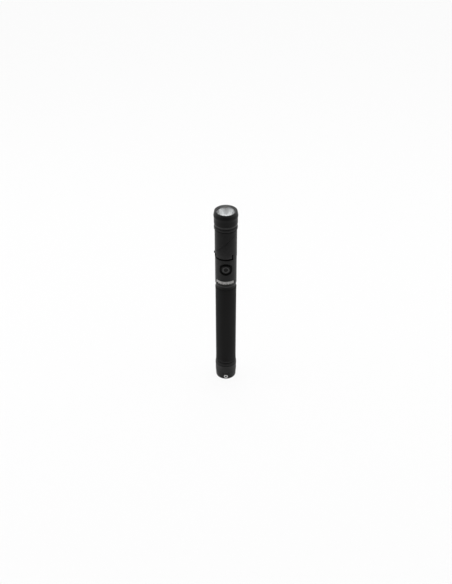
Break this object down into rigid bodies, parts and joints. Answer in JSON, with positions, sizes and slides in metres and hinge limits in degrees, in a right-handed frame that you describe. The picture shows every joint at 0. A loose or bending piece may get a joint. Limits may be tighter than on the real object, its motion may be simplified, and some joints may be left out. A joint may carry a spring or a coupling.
{
  "type": "flashlight",
  "caption": "Slim black flashlight with an oblique swivel head, bayonet joint, side push button, knurled grip and screw-off tail cap with a lanyard bush.",
  "frame": {"origin": "middle of the tail's flat base, on the long axis", "axes": "+Z along the long axis from tail to lens, -Y out of the side button, +X to the right seen from the button's side"},
  "size_m": [0.0286, 0.0286, 0.2448],
  "materials": {
    "black_anodised": "satin black anodised",
    "black_knurled": "black anodised, diamond knurled",
    "black_turned": "black anodised, fine turned",
    "nickel": "bright nickel plated",
    "brass": "turned",
    "spring_steel": "plated",
    "black_steel": "black oxide",
    "black_rubber": "matte",
    "black_plastic": "moulded",
    "circuit_board": "solder mask",
    "led_board": "white solder mask",
    "led": "clear dome over phosphor",
    "reflector": "smooth vacuum plated",
    "lens": "clear",
    "cell": "steel can in a shrink wrap"
  },
  "bodies": {
    "handle": {"battery_tube": "black_knurled", "tail_oring": "black_rubber", "cell_lower": "cell", "cell_upper": "cell", "neck_ring": "black_turned", "switch_housing": "black_anodised", "tact_switch": "black_plastic", "switch_board": "circuit_board", "switch_carrier": "black_plastic", "front_contact": "brass", "bayonet_pin_left": "black_steel", "bayonet_pin_rear": "black_steel", "contact_board": "circuit_board", "contact_leaf": "brass"},
    "tail_contact": {"tail_plate": "brass", "tail_spring": "spring_steel"},
    "tail_end": {"tail_cap": "black_anodised", "lanyard_bush": "nickel"},
    "button": {"switch_button": "black_rubber", "switch_plunger": "black_plastic"},
    "head_lower": {"head_base": "black_anodised", "swivel_washer": "spring_steel"},
    "head_upper": {"head_top": "black_anodised", "swivel_bolt": "spring_steel", "swivel_nut": "spring_steel", "contact_sleeve": "black_plastic", "contact_pin": "brass", "driver_lead": "black_rubber", "driver_board": "circuit_board", "heat_sink": "brass", "led_board": "led_board", "led": "led", "led_spacer": "black_plastic", "reflector": "reflector", "lens": "lens", "lens_gasket": "black_rubber", "bezel": "black_anodised"}
  },
  "joints": [
    {"name": "button_press", "type": "slide", "parent": "handle", "child": "button", "axis": [0, 1, 0], "range_m": [0, 0.0009], "stiffness_N_per_m": 2500},
    {"name": "tail_travel", "type": "slide", "parent": "handle", "child": "tail_contact", "axis": [0, 0, -1], "range_m": [0, 0.012]},
    {"name": "tail_unscrew", "type": "hinge", "parent": "tail_contact", "child": "tail_end", "pos_m": [0, 0, 0], "axis": [0, 0, -1], "range_deg": [0, 2880]},
    {"name": "head_twist", "type": "hinge", "parent": "handle", "child": "head_lower", "pos_m": [0, 0, 0.1844], "axis": [0, 0, -1], "range_deg": [0, 20]},
    {"name": "head_swivel", "type": "hinge", "parent": "head_lower", "child": "head_upper", "pos_m": [0, 0, 0.2068], "axis": [-0.7071, 0, 0.7071], "range_deg": [0, 180]}
  ],
  "couplings": [
    {"joint": "tail_travel", "follows": "tail_unscrew", "m_per_rad": 0.00023873}
  ]
}
